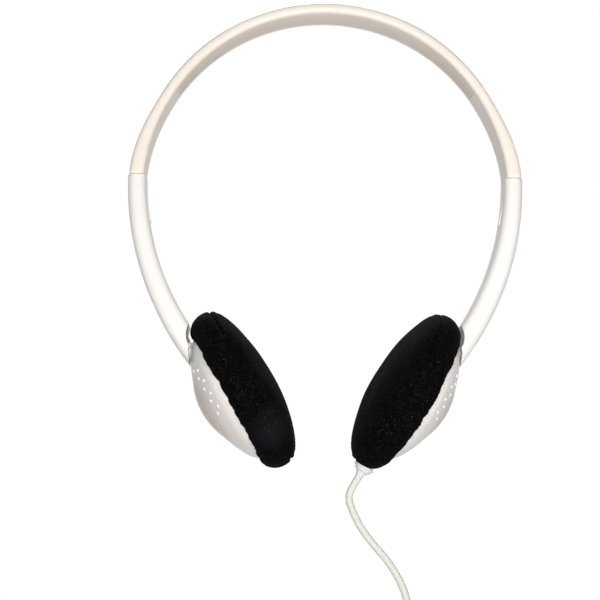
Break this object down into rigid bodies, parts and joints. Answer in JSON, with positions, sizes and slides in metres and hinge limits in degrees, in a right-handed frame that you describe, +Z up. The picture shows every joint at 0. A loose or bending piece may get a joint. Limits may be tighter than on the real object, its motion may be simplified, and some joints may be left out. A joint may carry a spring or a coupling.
{
  "type": "on-ear headphones",
  "caption": "Wired on-ear headphones with a curved plastic headband, sliding arms, domed cups on ball joints, foam ear pads and a cord with a small jack plug.",
  "frame": {"origin": "centre of the headband's arc on the middle of the band's width, where the middle of the wearer's head would be", "axes": "+Z up through the crown of the band, X from cup to cup with the corded cup at +X, +Y to the back"},
  "size_m": [0.1436, 0.0621, 0.3018],
  "materials": {
    "ivory_plastic": "satin gloss cream white",
    "liner_plastic": "satin cream white",
    "lead_rubber": "matt",
    "spring_steel": "plain",
    "bearing_plastic": "matt",
    "black_plastic": "matt",
    "magnet": "sintered",
    "copper_wire": "lacquered",
    "clear_film": "clear film",
    "grey_felt": "felt",
    "board": "bare board",
    "black_foam": "fuzzy black foam",
    "gland_rubber": "satin cream white",
    "cord_rubber": "satin cream white",
    "tie_rubber": "matt black",
    "plug_metal": "gilt"
  },
  "bodies": {
    "headband": {"headband_shell": "ivory_plastic", "headband_liner": "liner_plastic", "crossover_lead": "lead_rubber", "left_detent_spring": "spring_steel", "right_detent_spring": "spring_steel"},
    "left_arm": {"left_slide_strip": "spring_steel", "left_arm_shell": "ivory_plastic", "left_arm_cover": "liner_plastic", "left_arm_lead": "lead_rubber", "left_ball_stud": "spring_steel"},
    "left_pivot": {"left_ball_liner": "bearing_plastic"},
    "left_cup": {"left_cup_shell": "ivory_plastic", "left_socket_cap": "bearing_plastic", "left_baffle": "black_plastic", "left_cup_screws": "spring_steel", "left_driver_frame": "black_plastic", "left_driver_yoke": "spring_steel", "left_driver_magnet": "magnet", "left_driver_plate": "spring_steel", "left_voice_coil": "copper_wire", "left_diaphragm": "clear_film", "left_damping_felt": "grey_felt", "left_terminal_board": "board", "left_ear_pad": "black_foam"},
    "right_arm": {"right_slide_strip": "spring_steel", "right_arm_shell": "ivory_plastic", "right_arm_cover": "liner_plastic", "right_arm_lead": "lead_rubber", "right_ball_stud": "spring_steel"},
    "right_pivot": {"right_ball_liner": "bearing_plastic"},
    "right_cup": {"right_cup_shell": "ivory_plastic", "right_socket_cap": "bearing_plastic", "right_baffle": "black_plastic", "right_cup_screws": "spring_steel", "right_driver_frame": "black_plastic", "right_driver_yoke": "spring_steel", "right_driver_magnet": "magnet", "right_driver_plate": "spring_steel", "right_voice_coil": "copper_wire", "right_diaphragm": "clear_film", "right_damping_felt": "grey_felt", "right_terminal_board": "board", "right_ear_pad": "black_foam", "cord_gland": "gland_rubber", "cord_stretch": "cord_rubber", "cord_coil": "cord_rubber", "cord_tie": "tie_rubber", "plug_body": "gland_rubber", "plug_pin": "plug_metal"}
  },
  "joints": [
    {"name": "left_arm_slide", "type": "slide", "parent": "headband", "child": "left_arm", "axis": [-0.2504, 0, -0.9681], "range_m": [0, 0.014]},
    {"name": "left_cup_tilt", "type": "hinge", "parent": "left_arm", "child": "left_pivot", "pos_m": [-0.04358, 0, -0.06265], "axis": [0, 1, 0], "range_deg": [-3, 6]},
    {"name": "left_cup_swivel", "type": "hinge", "parent": "left_pivot", "child": "left_cup", "pos_m": [-0.04358, 0, -0.06265], "axis": [0.7108, 0, -0.7034], "range_deg": [-11, 9]},
    {"name": "right_arm_slide", "type": "slide", "parent": "headband", "child": "right_arm", "axis": [0.2504, 0, -0.9681], "range_m": [0, 0.014]},
    {"name": "right_cup_tilt", "type": "hinge", "parent": "right_arm", "child": "right_pivot", "pos_m": [0.04358, 0, -0.06265], "axis": [0, -1, 0], "range_deg": [-3, 6]},
    {"name": "right_cup_swivel", "type": "hinge", "parent": "right_pivot", "child": "right_cup", "pos_m": [0.04358, 0, -0.06265], "axis": [0.7108, 0, 0.7034], "range_deg": [-17, 3]}
  ]
}
